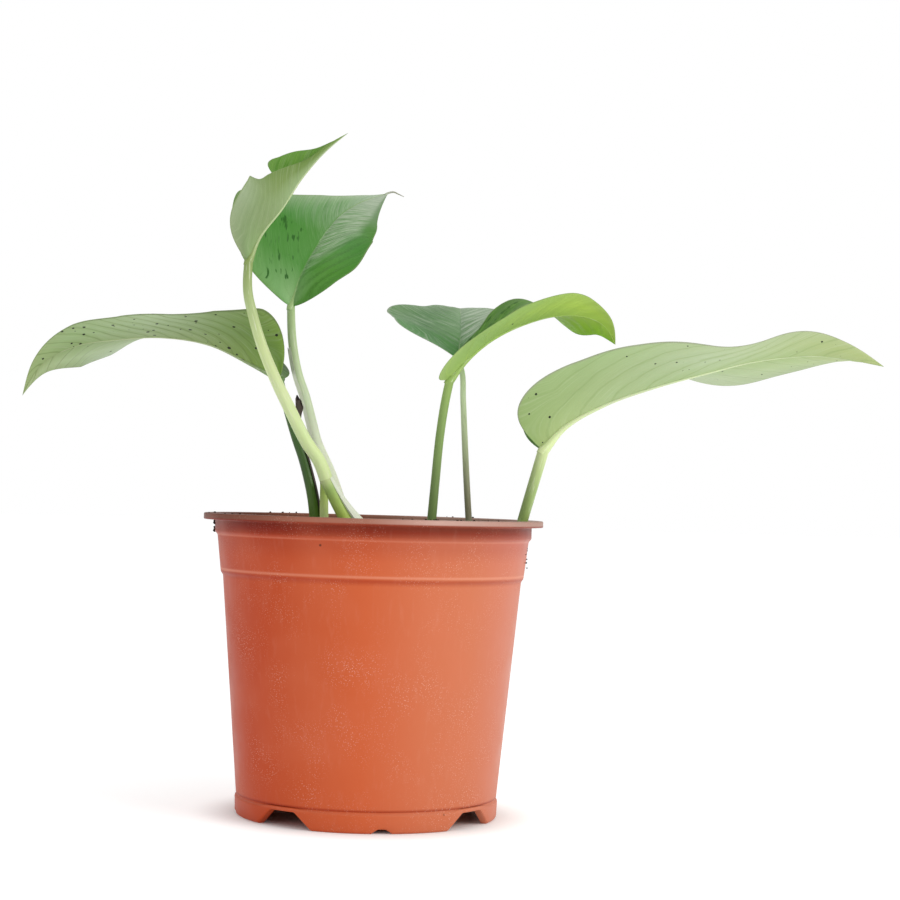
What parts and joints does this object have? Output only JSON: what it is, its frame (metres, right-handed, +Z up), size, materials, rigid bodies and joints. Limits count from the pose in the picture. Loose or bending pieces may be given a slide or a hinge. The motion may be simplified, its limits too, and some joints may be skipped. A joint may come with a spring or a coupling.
{
  "type": "potted plant",
  "caption": "Young pothos plant with arching heart-shaped leaves on long stalks, in a tapered plastic nursery pot with soil.",
  "frame": {"origin": "on the ground, under the middle of the box round pot and leaves; the pot's own axis is 34 mm to the left and 10 mm to the front of it", "axes": "+Z up, +X to the right along the widest spread of the leaves, -Y to the front, the side that the leaves are seen from"},
  "size_m": [0.3814, 0.17, 0.2998],
  "materials": {
    "pot": "satin moulded polypropylene, terracotta orange, dusty",
    "soil": "matte moist dark peat",
    "leaf_a": "satin young leaf, pale underside",
    "leaf_b": "satin leaf with silvery patches",
    "leaf_c": "satin leaf, pale sage underside with dark specks",
    "leaf_d": "satin leaf with silver stripes",
    "leaf_e": "satin young leaf, yellow-green underside",
    "leaf_f": "satin leaf, pale green underside",
    "stalk_a": "satin pale leaf stalk",
    "stalk_b": "satin pale leaf stalk",
    "stalk_c": "satin dark green leaf stalk",
    "stalk_d": "satin leaf stalk with a brown streak",
    "stalk_e": "satin leaf stalk",
    "stalk_f": "satin leaf stalk",
    "stem_a": "satin vine stem",
    "stub": "matte cut stalk end",
    "sheath_a": "matte papery sheath",
    "sheath_b": "matte papery sheath",
    "sheath_c": "matte dried brown sheath"
  },
  "bodies": {
    "root": {"pot": "pot", "soil": "soil", "leaf_a": "leaf_a", "leaf_b": "leaf_b", "leaf_c": "leaf_c", "leaf_d": "leaf_d", "leaf_e": "leaf_e", "leaf_f": "leaf_f", "stalk_a": "stalk_a", "stalk_b": "stalk_b", "stalk_c": "stalk_c", "stalk_d": "stalk_d", "stalk_e": "stalk_e", "stalk_f": "stalk_f", "stem_a": "stem_a", "stub": "stub", "sheath_a": "sheath_a", "sheath_b": "sheath_b", "sheath_c": "sheath_c"}
  },
  "joints": []
}
